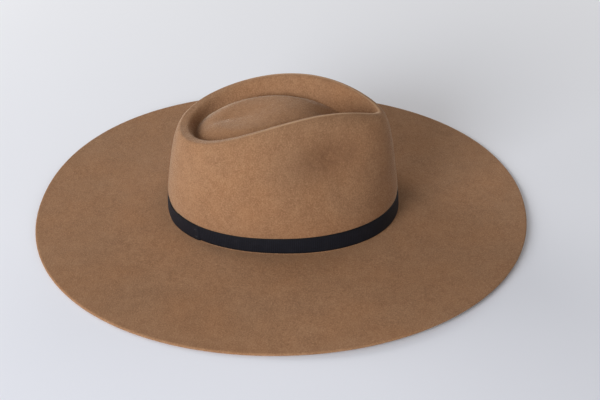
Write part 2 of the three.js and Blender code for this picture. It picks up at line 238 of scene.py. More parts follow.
def wall_at_rise(phi, rise):
    """The crown's wall at a share of its height, from 0 at the brim to 1 at the crest."""
    f = frontness(phi)
    base, crest = head_oval(phi), crest_point(phi)
    inwards = crest[..., :2] - base
    distance = np.linalg.norm(inwards, axis=-1)
    shoulder = SHOULDER[0] * (1 - f) ** 2 + 2 * SHOULDER[1] * f * (1 - f) + SHOULDER[2] * f ** 2
    power = between(SHOULDER_POWER, f)
    rounding = 1 - np.maximum(0, 1 - rise ** power) ** (1 / power)
    bulge = SIDE_BULGE * np.sin(np.pi * rise) * np.sin(phi) ** 2
    inset = (distance - shoulder) * rise - bulge + shoulder * rounding
    plan = base + inwards * (inset / distance)[..., None]
    plan = plan - oval_outward(phi) * pinch_depth(phi, rise)[..., None]
    return np.concatenate([plan, (WALL_BASE + (crest[..., 2] - WALL_BASE) * rise)[..., None]], -1)


def hollow_point(phi, inward):
    """The hollow top: inward is 0 on the crest and 1 on the spine, where the two sides meet."""
    f = frontness(phi)
    crest = crest_point(phi)
    spine_y = between(SPINE_Y, f)
    reach = np.hypot(crest[..., 0], crest[..., 1] - spine_y)
    travel = inward * reach
    behind = (1 - f) ** 2
    width = MOAT_WIDTH - MOAT_NARROWING * behind
    sink = between(MOAT_DEPTH, f) * ease(clamp01(travel / width) ** (1 + LIP_ROLL * behind))
    climb = clamp01((travel - width) / (ISLAND_SLOPE + ISLAND_TAIL * behind))
    island = between(ISLAND_RISE, f) * np.sin(climb * np.pi / 2)
    span = reach - width
    dome = DOME * ease(span / DOME_REACH) * np.sin(clamp01((travel - width) / span) * np.pi / 2)
    # The last term turns each line so that it meets the spine square on, which leaves no crease there.
    x = crest[..., 0] * (1 - inward)
    y = crest[..., 1] + (spine_y - crest[..., 1]) * (inward + inward ** SPINE_TURN * (1 - inward))
    return np.stack([x, y, crest[..., 2] - sink + island + dome], -1)


def crown_point(phi, t):
    """The crown's outer surface as one strip: t runs 0 to 1 up the wall and 1 to 2 over the hollow top."""
    phi, t = np.broadcast_arrays(phi, t)
    rise = np.sin(clamp01(t) * np.pi / 2) ** (2 / between(SHOULDER_POWER, frontness(phi)))
    return np.where((t >= 1)[..., None], hollow_point(phi, clamp01(t - 1)), wall_at_rise(phi, rise))


def crown_inside(phi, t):
    """The crown's inner surface, one felt thickness in from the outer one."""
    step = 0.01
    around = crown_point(phi + step, t) - crown_point(phi - step, t)
    up = crown_point(phi, np.minimum(2, t + step)) - crown_point(phi, np.maximum(0, t - step))
    normal = np.cross(around, up)
    normal /= np.linalg.norm(normal, axis=-1, keepdims=True) + 1e-12
    flat = np.broadcast_to(t >= 1.999, normal.shape[:-1])
    normal[flat] = [0, 0, 1]
    return crown_point(phi, t) - normal * CROWN_THICKNESS


def brim_point(phi, out, z, edge_inset=0.0):
    """A point of the brim: out is 0 at the crown's foot and 1 at the edge."""
    phi, out, z = np.broadcast_arrays(phi, out, z)
    base = head_oval(phi)
    edge = squared_oval(phi, BRIM_HALF - edge_inset, BRIM_SQUARENESS)
    plan = base + (edge - base) * out[..., None]
    return np.concatenate([plan, z[..., None]], -1)


def fold_point(phi, radius, inset, height, turn):
    """A quarter round where the wall turns into the brim."""
    plan = head_oval(phi) + oval_outward(phi) * (-inset + radius * (1 - math.sin(turn)))
    z = np.full(plan.shape[:-1] + (1,), height + radius * (1 - math.cos(turn)))
    return np.concatenate([plan, z], -1)


def wall_spot(phi, inset, z):
    """The wall at a height, moved inwards (or outwards, if inset is negative)."""
    phi, inset, z = np.broadcast_arrays(phi, inset, z)
    rise = clamp01((z - WALL_BASE) / (crest_point(phi)[..., 2] - WALL_BASE))
    wall, out = wall_at_rise(phi, rise), oval_outward(phi)
    plan = wall[..., :2] - out * inset[..., None]
    return np.concatenate([plan, z[..., None]], -1)


def unevenness(points, wavelength, amplitude, seed):
    """A smooth random height for each point: plane waves in random directions."""
    waves = 14
    rng = np.random.default_rng(seed)
    total = np.zeros(points.shape[:-1])
    for _ in range(waves):
        direction = rng.normal(size=3)
        direction /= np.linalg.norm(direction)
        length = wavelength * rng.uniform(0.7, 1.5)
        total += np.sin(points @ direction * 2 * np.pi / length + rng.uniform(0, 2 * np.pi))
    return amplitude * total / math.sqrt(waves / 2)


# ------------------------------------------------------------------ meshes

def grid_faces(rings, per_ring, rings_closed, section_closed):
    """Quads of a grid of points, where each ring is one cross-section."""
    i = np.arange(rings if rings_closed else rings - 1)[:, None]
    j = np.arange(per_ring if section_closed else per_ring - 1)[None]
    here, there = i * per_ring, (i + 1) % rings * per_ring
    k = (j + 1) % per_ring
    return np.stack([here + j, there + j, there + k, here + k], -1).reshape(-1, 4).tolist()


def sweep_faces(rings, per_ring, endless=False):
    """The faces of a closed section swept along a line, with a cap at each end unless it is endless."""
    faces = grid_faces(rings, per_ring, endless, True)
    if not endless:
        last = (rings - 1) * per_ring
        faces.append(list(range(per_ring)))
        faces.append([last + j for j in reversed(range(per_ring))])
    return faces


def make_piece(name, points, faces, material, replaces=(), attributes=None, weld=0.0):
    """A mesh object from points in millimetres, riding on the hat's one body."""
    mesh = bpy.data.meshes.new(name)
    mesh.from_pydata((np.asarray(points).reshape(-1, 3) * MM).tolist(), [], faces)
    for key, values in (attributes or {}).items():
        layer = mesh.attributes.new(key, "FLOAT", "POINT")
        layer.data.foreach_set("value", np.asarray(values, np.float32).ravel())
    mesh.materials.append(material)
    piece = bpy.data.objects.new(name, mesh)
    bpy.context.scene.collection.objects.link(piece)
    close_up(mesh, weld)
    mesh.polygons.foreach_set("use_smooth", [True] * len(mesh.polygons))
    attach(piece, BODY)
    if replaces:
        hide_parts(*replaces)


def close_up(mesh, weld):
    """Welds coincident points and turns every face outwards."""
    work = bmesh.new()
    work.from_mesh(mesh)
    if weld:
        bmesh.ops.remove_doubles(work, verts=work.verts, dist=weld * MM)
        bmesh.ops.dissolve_degenerate(work, edges=work.edges, dist=1e-7)
    bmesh.ops.recalc_face_normals(work, faces=work.faces)
    work.to_mesh(mesh)
    work.free()


def running_length(phi):
    """The length along the head oval from the first angle to each of them."""
    steps = np.linalg.norm(np.diff(head_oval(phi), axis=0), axis=1)
    return np.concatenate([[0], np.cumsum(steps)])


def arc_angles(start, end, count):
    """Angles spaced evenly along the head oval between two angles."""
    phi = np.linspace(start, end, 4000)
    length = running_length(phi)
    return np.interp(np.linspace(0, length[-1], count), length, phi)


def strip(name, phi, depth, height, material, replaces=(), attributes=None):
    """A strip along the crown's wall. depth and height give each ring's section: an inset and a z."""
    points = wall_spot(phi[:, None], depth, height)
    faces = sweep_faces(*points.shape[:2])
    make_piece(name, points, faces, material, replaces, attributes=attributes)


def rounded_section(thickness, height, rows, corner=3, extra=()):
    """A strip's section as depth (0 outside to thickness inside) and height, with rounded edges."""
    half = thickness / 2
    turns = np.linspace(0, np.pi, corner + 2)[1:-1]
    up = np.union1d(np.linspace(half, height - half, rows), extra)
    depth = np.concatenate([np.zeros(len(up)), half - half * np.cos(turns),
                            np.full(len(up), thickness), half + half * np.cos(turns)])
    z = np.concatenate([up, height - half + half * np.sin(turns), up[::-1], half - half * np.sin(turns)])
    return depth, z


def travelled(phi):
    """The length along the head oval up to each angle, in metres."""
    fine = np.linspace(-math.tau, 2 * math.tau, 12000)
    return np.interp(phi, fine, running_length(fine)) * MM


def weave_lines(phi, across):
    """The along and across lengths of a strip's points, which its woven material is drawn with."""
    along, across = np.broadcast_arrays(travelled(phi)[:, None], np.asarray(across) * MM)
    return {"along": along, "across": across}


def open_ring(gap):
    """Angles once around the hat, from one side of the rear seam to the other, with gap left each side."""
    return np.linspace(REAR + gap, REAR + math.tau - gap, TRIM_COLUMNS + 1)


def tube(name, centres, radius, sides, material, replaces=(), endless=False):
    """A round thread or cord along a line of points; radius may be one number or one for each point."""
    centres = np.asarray(centres)
    if endless:
        ahead, behind = np.roll(centres, -1, 0), np.roll(centres, 1, 0)
    else:
        ahead, behind = np.vstack([centres[1:], centres[-1:]]), np.vstack([centres[:1], centres[:-1]])
    tangent = ahead - behind
    tangent /= np.linalg.norm(tangent, axis=1, keepdims=True)
    middle = np.array([0, CROWN_CENTRE_Y, 0])
    outward = (centres - middle) * [1, 1, 0]
    side = np.cross(tangent, outward)
    side /= np.linalg.norm(side, axis=1, keepdims=True)
    other = np.cross(side, tangent)
    turn = np.linspace(0, math.tau, sides, endpoint=False)[None, :, None]
    ring = np.cos(turn) * side[:, None] + np.sin(turn) * other[:, None]
    points = centres[:, None] + ring * np.broadcast_to(radius, len(centres))[:, None, None]
    make_piece(name, points, sweep_faces(len(centres), sides, endless), material, replaces)


# ------------------------------------------------------------------ materials

class Finish:
    """A Principled material and short ways to add nodes to it."""

    def __init__(self, name, **sockets):
        self.material = bpy.data.materials.new(name)
        self.material.use_nodes = True
        self.tree = self.material.node_tree
        self.shader = self.tree.nodes["Principled BSDF"]
        for socket, value in sockets.items():
            self.shader.inputs[socket.replace("_", " ")].default_value = value

    def node(self, kind, inputs=None, **settings):
        node = self.tree.nodes.new(kind)
        for key, value in settings.items():
            setattr(node, key, value)
        for key, value in (inputs or {}).items():
            self.feed(node.inputs[key], value)
        return node

    def feed(self, socket, value):
        if isinstance(value, bpy.types.NodeSocket):
            self.tree.links.new(value, socket)
        else:
            socket.default_value = value

    def place(self):
        return self.node("ShaderNodeTexCoord").outputs["Object"]

    def attribute(self, name):
        return self.node("ShaderNodeAttribute", attribute_name=name).outputs["Fac"]

    def stretched(self, vector, scale):
        return self.node("ShaderNodeMapping", {"Vector": vector, "Scale": scale}).outputs["Vector"]

    def combine(self, x, y, z=0.0):
        return self.node("ShaderNodeCombineXYZ", {"X": x, "Y": y, "Z": z}).outputs["Vector"]

    def noise(self, vector, size_mm, detail=3.0, roughness=0.55, distortion=0.0):
        return self.node("ShaderNodeTexNoise", {
            "Vector": vector, "Scale": 1 / (size_mm * MM), "Detail": detail,
            "Roughness": roughness, "Distortion": distortion}).outputs["Fac"]

    def cells(self, vector, size_mm, feature="F1"):
        return self.node("ShaderNodeTexVoronoi", {"Vector": vector, "Scale": 1 / (size_mm * MM)},
                         feature=feature).outputs["Distance"]

    def specks(self, vector, spacing_mm, radius_mm):
        """1 inside small dots that lie about spacing_mm apart, 0 elsewhere."""
        distance = self.cells(vector, spacing_mm)
        return self.remap(distance, radius_mm / spacing_mm, 0.6 * radius_mm / spacing_mm, 0, 0.8)

    def maths(self, operation, a, b=0.0):
        node = self.node("ShaderNodeMath", operation=operation)
        self.feed(node.inputs[0], a)
        self.feed(node.inputs[1], b)
        return node.outputs[0]

    def remap(self, value, low, high, to_low=0.0, to_high=1.0):
        return self.node("ShaderNodeMapRange", {
            "Value": value, "From Min": low, "From Max": high,
            "To Min": to_low, "To Max": to_high}).outputs["Result"]

    def mix(self, factor, a, b):
        """Blends from a to b; the numbers are the colour sockets among the node's inputs and outputs."""
        node = self.node("ShaderNodeMix", data_type="RGBA")
        self.feed(node.inputs[0], factor)
        self.feed(node.inputs[6], a)
        self.feed(node.inputs[7], b)
        return node.outputs[2]

    def bump(self, height, depth_mm, strength=1.0, below=None):
        inputs = {"Height": height, "Distance": depth_mm * MM, "Strength": strength}
        if below is not None:
            inputs["Normal"] = below
        return self.node("ShaderNodeBump", inputs).outputs["Normal"]

    def done(self, colour=None, roughness=None, normal=None):
        for socket, value in (("Base Color", colour), ("Roughness", roughness), ("Normal", normal)):
            if value is not None:
                self.feed(self.shader.inputs[socket], value)
        return self.material


def rgb(red, green, blue):
    """A colour given as 0-255 display values, made linear."""
    def linear(c):
        c /= 255
        return c / 12.92 if c <= 0.04045 else ((c + 0.055) / 1.055) ** 2.4
    return (linear(red), linear(green), linear(blue), 1.0)


def felt_finish():
    """Wool felt: soft blotches, a fine mottled nap, short fibres and a little lint."""
    f = Finish("camel_felt", Roughness=0.95, Sheen_Weight=0.6, Sheen_Roughness=0.3,
               Sheen_Tint=rgb(240, 218, 194), Specular_IOR_Level=0.15)
    place = f.place()
    base, pale, deep = rgb(151, 109, 76), rgb(190, 149, 112), rgb(101, 66, 42)
    blotch, cloud = f.noise(place, 60, 2), f.noise(place, 16, 3)
    mottle, nap = f.noise(place, 4.5, 3, 0.65), f.noise(place, 1.2, 3, 0.7)
    colour = f.mix(f.remap(blotch, 0.35, 0.65, 0, 0.5), base, rgb(146, 112, 84))
    colour = f.mix(f.remap(cloud, 0.35, 0.75, 0, 0.22), colour, deep)
    colour = f.mix(f.remap(mottle, 0.5, 0.75, 0, 0.16), colour, pale)
    colour = f.mix(f.remap(mottle, 0.48, 0.25, 0, 0.16), colour, deep)
    colour = f.mix(f.remap(nap, 0.5, 0.75, 0, 0.5), colour, pale)
    colour = f.mix(f.remap(nap, 0.48, 0.25, 0, 0.5), colour, deep)
    # Paler felt along the front crest, partly wear and partly a painted highlight, and a little wear at the
    # brim's cut edge.
    colour = f.mix(f.maths("MULTIPLY", f.attribute("wear_and_highlight"), 0.58), colour, rgb(205, 165, 128))
    # Darker felt in the pinch dents: partly handling grime, partly painted shade.
    colour = f.mix(f.maths("MULTIPLY", f.attribute("handled_and_shaded"), f.remap(mottle, 0.3, 0.6, 0.1, 0.7)),
                   colour, rgb(112, 76, 52))
    colour = f.mix(f.specks(place, 34, 0.5), colour, rgb(228, 214, 196))
    colour = f.mix(f.specks(f.stretched(place, (-1, 1, 1)), 47, 0.45), colour, rgb(60, 42, 32))
    fibres = f.noise(f.stretched(place, (1.0, 1.0, 1.8)), 0.8, 4, 0.7, 0.6)
    normal = f.bump(cloud, 1.2, 0.35)
    normal = f.bump(mottle, 0.5, 0.6, normal)
    normal = f.bump(fibres, 0.35, 0.8, normal)
    return f.done(colour, f.remap(nap, 0.2, 0.8, 0.88, 1.0), normal)


def ribbon_finish(name, colour, thread_colour):
    """Grosgrain: fine threads along each rib, painted shade between the ribs, darker along the selvedge, a
    little dust.
    """
    f = Finish(name, Roughness=0.6, Sheen_Weight=0.05, Sheen_Roughness=0.4,
               Sheen_Tint=rgb(120, 120, 135), Specular_IOR_Level=0.22)
    place = f.place()
    along, across = f.attribute("along"), f.attribute("across")
    threads = f.noise(f.combine(along, f.maths("MULTIPLY", across, 0.12)), 0.22, 2, 0.6)
    weft = f.noise(f.combine(f.maths("MULTIPLY", along, 0.1), across), 0.3, 2, 0.6)
    dust = f.noise(place, 9, 3)
    colour_out = f.mix(f.remap(threads, 0.35, 0.75, 0, 0.6), colour, thread_colour)
    colour_out = f.mix(f.remap(dust, 0.5, 0.8, 0, 0.15), colour_out, rgb(58, 57, 62))
    # Painted shade in the grooves between the ribs, and darker along both edges.
    colour_out = f.mix(f.attribute("groove_shade_and_dark_edges"), colour_out, rgb(4, 4, 6))
    normal = f.bump(threads, 0.06, 0.6)
    normal = f.bump(weft, 0.03, 0.4, normal)
    return f.done(colour_out, f.remap(threads, 0.3, 0.7, 0.5, 0.7), normal)


def leather_finish():
    """Brown leather with pores, fine wrinkles and a slow change of tone."""
    f = Finish("sweatband_leather", Roughness=0.5, Coat_Weight=0.08, Coat_Roughness=0.4,
               Specular_IOR_Level=0.45)
    place = f.place()
    pores = f.cells(place, 0.9)
    wrinkles = f.cells(f.stretched(place, (1, 1, 0.6)), 2.6, "DISTANCE_TO_EDGE")
    tone = f.noise(place, 26, 3)
    colour = f.mix(f.remap(tone, 0.3, 0.7), rgb(104, 64, 40), rgb(126, 80, 50))
    colour = f.mix(f.remap(pores, 0.0, 0.35, 0.35, 0.0), colour, rgb(70, 42, 28))
    normal = f.bump(f.remap(wrinkles, 0, 0.12), 0.12, 0.35)
    normal = f.bump(pores, 0.08, 0.5, normal)
    return f.done(colour, f.remap(tone, 0.3, 0.7, 0.42, 0.6), normal)


def woven_finish(name, colour, dark, pitch_mm, roughness=0.85):
    """A plain weave in the strip's own along and across directions."""
    f = Finish(name, Roughness=roughness, Sheen_Weight=0.15, Specular_IOR_Level=0.25)
    waves = []
    for way in ("along", "across"):
        turns = f.maths("MULTIPLY", f.attribute(way), math.tau / (pitch_mm * MM))
        waves.append(f.maths("SINE", turns))
    weave = f.remap(f.maths("MULTIPLY", waves[0], waves[1]), -1, 1)
    fuzz = f.noise(f.place(), 0.5, 3)
    colour_out = f.mix(weave, dark, colour)
    colour_out = f.mix(f.remap(fuzz, 0.4, 0.8, 0, 0.4), colour_out, dark)
    normal = f.bump(weave, 0.08, 0.7)
    return f.done(colour_out, None, f.bump(fuzz, 0.05, 0.5, normal))


def thread_finish(name, colour, dark):
    """Twisted thread, darker between its fibres."""
    f = Finish(name, Roughness=0.55, Sheen_Weight=0.2, Specular_IOR_Level=0.4)
    fibres = f.noise(f.stretched(f.place(), (1, 1, 3)), 0.25, 3)
    return f.done(f.mix(fibres, dark, colour), None, f.bump(fibres, 0.05, 0.6))


def plastic_finish():
    """Off-white plastic with faint scuffs."""
    f = Finish("reed_plastic", Roughness=0.35, Specular_IOR_Level=0.5, Subsurface_Weight=0.15,
               Subsurface_Scale=0.002)
    scuffs = f.noise(f.place(), 3, 4)
    colour = f.mix(f.remap(scuffs, 0.4, 0.7), rgb(214, 208, 196), rgb(198, 190, 175))
    return f.done(colour, f.remap(scuffs, 0.3, 0.7, 0.3, 0.5), f.bump(scuffs, 0.03, 0.4))


# ------------------------------------------------------------------ pieces

def above_ribbon(phi, points):
    """The felt swells out a little just above the ribbon, which is drawn tight around it."""
    over = points[..., 2] - RIBBON_BOTTOM - RIBBON_HEIGHT
    swell = FELT_SWELL * smoothstep(over, *SWELL_RISE) * (1 - smoothstep(over, *SWELL_FALL))
    points = points.copy()
    points[..., :2] += oval_outward(phi) * swell[..., None]
    return points


def felt_rows(phi):
    """The felt's section at each angle: over the hollow and the crest, down, out and back inside.

    Gives the points, and for each of them how much wear and painted highlight lighten the felt."""
    column = phi[:, None]
    rows, wear_and_highlight = [], []

    def put(points, worn_and_lit):
        rows.append(points)
        wear_and_highlight.append(np.broadcast_to(worn_and_lit, points.shape[:-1]))

    hollow = 2 - np.linspace(0, 1, CROWN_ROWS)[None]
    wall = (1 - np.linspace(0, 1, CROWN_ROWS)[1:-1])[None]
    # The pale line along the front crest is partly wear and partly a painted highlight.
    rubbed_and_lit = smoothstep(frontness(column), WEAR_AND_HIGHLIGHT_FROM, WEAR_AND_HIGHLIGHT_TO)
    put(crown_point(column, hollow), rubbed_and_lit * np.exp(-((hollow - 1) / CREST_WEAR_AND_HIGHLIGHT_INSIDE) ** 2))
    wall_wear_and_highlight = rubbed_and_lit * np.exp(-((1 - wall) / CREST_WEAR_AND_HIGHLIGHT_OUTSIDE) ** 2)
    put(above_ribbon(column, crown_point(column, wall)), wall_wear_and_highlight)
    quarter = np.linspace(math.pi / 2, 0, FOLD_ROWS)
    for turn in quarter:
        put(fold_point(column, FOLD_RADIUS, 0, WALL_BASE, turn), 0)
    out = np.linspace(BRIM_FIRST, BRIM_LAST, BRIM_ROWS)[None]
    put(brim_point(column, out, underside_height(column, out) + BRIM_THICKNESS), 0)
    rim = np.ones((1, 1))
    middle = underside_height(column, rim) + BRIM_THICKNESS / 2
    for turn in np.linspace(0.5, -0.5, EDGE_ROWS):
        inset = BRIM_EDGE_ROUND * (abs(turn) * 2) ** 3
        put(brim_point(column, rim, middle + turn * BRIM_THICKNESS, inset), EDGE_WEAR)
    under = np.linspace(BRIM_LAST, BRIM_FIRST, UNDERSIDE_ROWS)[None]
    put(brim_point(column, under, underside_height(column, under)), 0)
    for turn in quarter[::-1]:
        put(fold_point(column, FOLD_RADIUS + CROWN_THICKNESS, CROWN_THICKNESS, BRIM_RISE, turn), 0)
    put(crown_inside(column, np.linspace(0, 1, INNER_WALL_ROWS + 1)[None, 1:]), 0)
    put(crown_inside(column, 1 + np.linspace(0, 1, INNER_HOLLOW_ROWS + 1)[None, 1:]), 0)
    return np.concatenate(rows, 1), np.concatenate(wear_and_highlight, 1)


def felt_body(material):
    """Crown and brim as one shell, a little rumpled where hands pinch its front, and darker there: partly
    grime, partly painted shade.
    """
    phi = np.linspace(0, 2 * np.pi, FELT_COLUMNS + 1)[:-1]
    points, wear_and_highlight = felt_rows(phi)
    up = (points[..., 2] - HANDLED_AND_SHADED_HEIGHT) / HANDLED_AND_SHADED_REACH
    outer_crown = np.arange(points.shape[1])[None] < 2 * CROWN_ROWS - 1
    # The darker pinch area is partly handling grime and partly painted shade; it also sets where the felt
    # rumples.
    handled_and_shaded = np.exp(-across_pinch(phi)[:, None] ** 2 - up ** 2) * outer_crown
    height = sum(unevenness(points, *rumple) for rumple in RUMPLES)
    points[..., :2] += oval_outward(phi)[:, None] * (height * handled_and_shaded)[..., None]
    rings, per_ring = points.shape[:2]
    faces = grid_faces(rings, per_ring, True, False)
    make_piece("felt_body_fine", points, faces, material, ("felt_body",),
               attributes={"wear_and_highlight": wear_and_highlight, "handled_and_shaded": handled_and_shaded}, weld=0.01)


def ribbon_stand_off(phi):
    """How far the ribbon stands off the felt; its last stretch climbs over its own start."""
    pressed = LAP_PRESSED_IN * smoothstep(phi, LAP_END - LAP_PRESS, LAP_END)
    return RIBBON_GAP + smoothstep(phi, *CLIMB) * (RIBBON_THICKNESS + LAP_CLEARANCE) - pressed


def hat_band(material):
    """The ribbon around the crown, with a raised rib at each pitch and a scalloped selvedge."""
    length = (travelled(LAP_END) - travelled(LAP_START)) / MM
    ribs = round(length / RIB_PITCH)
    phi = arc_angles(LAP_START, LAP_END, ribs * RIB_POINTS + 1)
    depth, up = rounded_section(RIBBON_THICKNESS, RIBBON_HEIGHT, 9)
    rib = np.abs(np.cos(np.pi * np.arange(len(phi)) / RIB_POINTS))[:, None]
    crowning = RIBBON_CROWNING * np.sin(np.pi * clamp01(up / RIBBON_HEIGHT))
    outer = depth < RIBBON_THICKNESS / 2
    from_edge = RIBBON_HEIGHT / 2 - np.abs(up - RIBBON_HEIGHT / 2)
    selvedge = np.where(up < RIBBON_HEIGHT / 2, -1, 1) * (from_edge < SELVEDGE_WIDTH)
    droop = LAP_DROOP * smoothstep(phi, CLIMB[0], LAP_END)[:, None]
    raised = (RIB_DEPTH * rib + crowning) * outer
    inset = depth - RIBBON_THICKNESS - ribbon_stand_off(phi)[:, None] - raised
    height = RIBBON_BOTTOM - droop + up + RIB_SCALLOP * rib * selvedge
    # Painted shade between the ribs, and darker along both edges.
    groove_shade_and_dark_edges = clamp01(0.8 * (1 - rib) ** 2 + 0.7 * np.exp(-(from_edge / SELVEDGE_SHADE) ** 2))
    strip("hat_band_ribbon", phi, inset, height, material, ("hat_band",),
          attributes={"groove_shade_and_dark_edges": groove_shade_and_dark_edges, **weave_lines(phi, up)})


def band_tacks(material):
    """At each tack three short strands, side by side, hold the ribbon's lapped end down."""
    end = LAP_END - TACK_SETBACK
    for place, height in zip(("upper", "lower"), TACK_HEIGHTS):
        for strand in (-1, 0, 1):
            phi = np.linspace(end - TACK_LENGTH, end, STRAND_POINTS)
            arch = STRAND_ARCH * np.sin(np.linspace(0, np.pi, STRAND_POINTS)) ** 0.5
            inset = -(ribbon_stand_off(end) + RIBBON_THICKNESS + 0.1 + arch)
            slant = STRAND_SLANT * np.linspace(-1, 1, STRAND_POINTS)
            line = wall_spot(phi, inset, height + STRAND_SPACING * strand + slant)
            replaced = (f"band_tack_{place}",) if strand == 0 else ()
            number = strand + 2
            tube(f"band_tack_{place}_strand_{number}", line, STRAND_RADIUS, 8, material,
                 replaced)


def sweatband(material):
    """The leather strip, with a tooled line below its top edge and a little waviness of its own."""
    height = sweat_high[2] - sweat_low[2]
    groove = height - GROOVE_DROP
    phi = open_ring(SEAM_GAP)
    depth, up = rounded_section(SWEAT_THICKNESS, height, 18, 5, groove + np.linspace(-0.6, 0.6, 7))
    inner = depth > SWEAT_THICKNESS / 2
    pressed = GROOVE_DEPTH * np.exp(-((up - groove) / GROOVE_WIDTH) ** 2) * inner
    slow = SLOW_WAVE[0] * np.sin(SLOW_WAVE[1] * phi)[:, None] * (up / height) ** 2
    fast = FAST_WAVE[0] * np.sin(FAST_WAVE[1] * phi + 1)[:, None]
    inset = SWEAT_INSET + SWEAT_CLEARANCE + depth - pressed + (slow + fast) * (up / height)
    strip("sweatband_leather", phi, inset, sweat_low[2] + up + 0 * inset, material,
          ("sweatband",), attributes=weave_lines(phi, up))


def seam_backing(material):
    """The tape behind the seam at the rear, which joins the sweatband's two ends."""
    height = backing_high[2] - backing_low[2]
    phi = np.linspace(REAR - BACKING_HALF_ANGLE, REAR + BACKING_HALF_ANGLE, 33)
    depth, up = rounded_section(BACKING_THICKNESS, height, 16)
    strip("seam_backing_tape", phi, BACKING_INSET + depth, backing_low[2] + up, material,
          ("sweatband_seam_backing",), attributes=weave_lines(phi, up))


def seam_thread(material):
    """A zigzag that draws the sweatband's two ends together over the backing."""
    turn = np.linspace(0, SEAM_CROSSINGS, SEAM_CROSSINGS * 8 + 1)
    side = np.arcsin(np.sin(np.pi * turn)) / (np.pi / 2)
    phi = REAR + SEAM_HALF_ANGLE * side
    height = backing_high[2] - backing_low[2] - SEAM_MARGIN
    z = backing_low[2] + SEAM_START + height * turn / SEAM_CROSSINGS
    inset = SWEAT_INSET + SWEAT_THICKNESS + SEAM_STAND_OFF - SEAM_DIP * np.abs(side) ** 6
    tube("sweatband_seam_thread", wall_spot(phi, inset, z), SEAM_THREAD_RADIUS, 8, material)


def reed(material):
    """The plastic cord at the foot of the sweatband, with rounded ends."""
    phi = open_ring(REED_GAP)
    from_end = np.minimum(np.arange(len(phi)), np.arange(len(phi))[::-1])
    radius = REED_RADIUS * np.where(from_end == 0, 0.6, 1.0)
    centres = wall_spot(phi, REED_INSET, REED_HEIGHT)
    tube("reed_cord", centres, radius, 16, material, ("sweatband_reed",))


def reed_tape(material):
    """The tape that hooks around the reed; its tail stands up behind the sweatband."""
    inner = REED_RADIUS + TAPE_CLEARANCE
    outer = inner + TAPE_THICKNESS
    turns = np.linspace(np.pi, TAPE_LIP, 25)
    tail_inset = REED_INSET - outer
    tail_rows = 8
    tail_up = np.linspace(tape_high[2], REED_HEIGHT, tail_rows + 1)[:-1]
    hook = [REED_INSET + outer * np.cos(turns), REED_INSET + inner * np.cos(turns[::-1])]
    hook_z = [REED_HEIGHT + outer * np.sin(turns), REED_HEIGHT + inner * np.sin(turns[::-1])]
    tail = [np.full(tail_rows, tail_inset), np.full(tail_rows, tail_inset + TAPE_THICKNESS)]
    depth = np.concatenate([tail[0], *hook, tail[1]])
    z = np.concatenate([tail_up, *hook_z, tail_up[::-1]])
    across = np.concatenate([[0], np.cumsum(np.hypot(np.diff(depth), np.diff(z)))])
    phi = open_ring(REED_GAP)
    strip("reed_tape_woven", phi, depth, z, material, ("reed_tape",),
          attributes=weave_lines(phi, across))


def stitching(material):
    """One thread zigzags all the way around and dips into the leather at each turn."""
    per_stitch = 6
    turn = np.arange(2 * STITCHES * per_stitch) / per_stitch
    phi = turn * np.pi / STITCHES
    swing = np.arcsin(np.cos(np.pi * turn)) / (np.pi / 2)
    dip = THREAD_DIP * np.abs(np.cos(np.pi * turn)) ** 12
    inset = SWEAT_INSET + SWEAT_THICKNESS + THREAD_RADIUS + 0.1 - dip
    centres = wall_spot(phi, inset, THREAD_HEIGHT + THREAD_ZIGZAG * swing)
    tube("sweatband_stitching_thread", centres, THREAD_RADIUS, 8, material,
         ("sweatband_stitching",), endless=True)


def bow_loop(side, material, replaced):
    """One loop: the ribbon leaves the knot, turns back at the fold and returns as a second layer."""
    reach = CROWN_HALF[0] * BOW_HALF_ANGLE
    radius = (BOW_DEPTH - BOW_LAYER) / 2
    straight = np.linspace(0, reach - radius - BOW_LAYER / 2, LOOP_POINTS)
    turns = np.linspace(0, np.pi, 9)[1:-1]
    out = np.concatenate([straight, straight[-1] + radius * np.sin(turns), straight[::-1]])
    middle = BOW_INSET + BOW_DEPTH / 2
    flat = np.full(LOOP_POINTS, radius)
    layer = np.concatenate([-flat, -radius * np.cos(turns), flat])
    share = clamp01(out / reach)
    half = BOW_WAIST + (BOW_LOBE - BOW_WAIST) * np.sin(np.pi * np.minimum(share, 0.92)) ** 0.7
    puff = LOOP_PUFF * np.sin(np.pi * share) * np.sign(layer)
    heading = np.arctan2(np.gradient(layer), np.gradient(out))
    v, face = np.meshgrid(np.linspace(-1, 1, 9), [-0.5, 0.5], indexing="ij")
    v, face = np.concatenate([v[:, 0], v[::-1, 1]]), np.concatenate([face[:, 0], face[::-1, 1]])
    gather = LOOP_GATHER * np.cos(3 * np.pi * v)[None] * (1 - smoothstep(share, 0, 0.5))[:, None]
    inset = middle + (layer + puff)[:, None] + gather + BOW_LAYER * np.cos(heading)[:, None] * face
    along = out[:, None] - BOW_LAYER * np.sin(heading)[:, None] * face
    points = wall_spot(REAR + side * along / CROWN_HALF[0], inset, BOW_HEIGHT + half[:, None] * v)
    faces = sweep_faces(*points.shape[:2])
    run = np.concatenate([[0], np.cumsum(np.hypot(np.diff(out), np.diff(layer)))]) * MM
    lines = dict(zip(("along", "across"), np.broadcast_arrays(run[:, None], half[:, None] * v * MM)))
    name = "rear_bow_loop_" + ("left" if side > 0 else "right")
    make_piece(name, points, faces, material, replaced, attributes=lines)


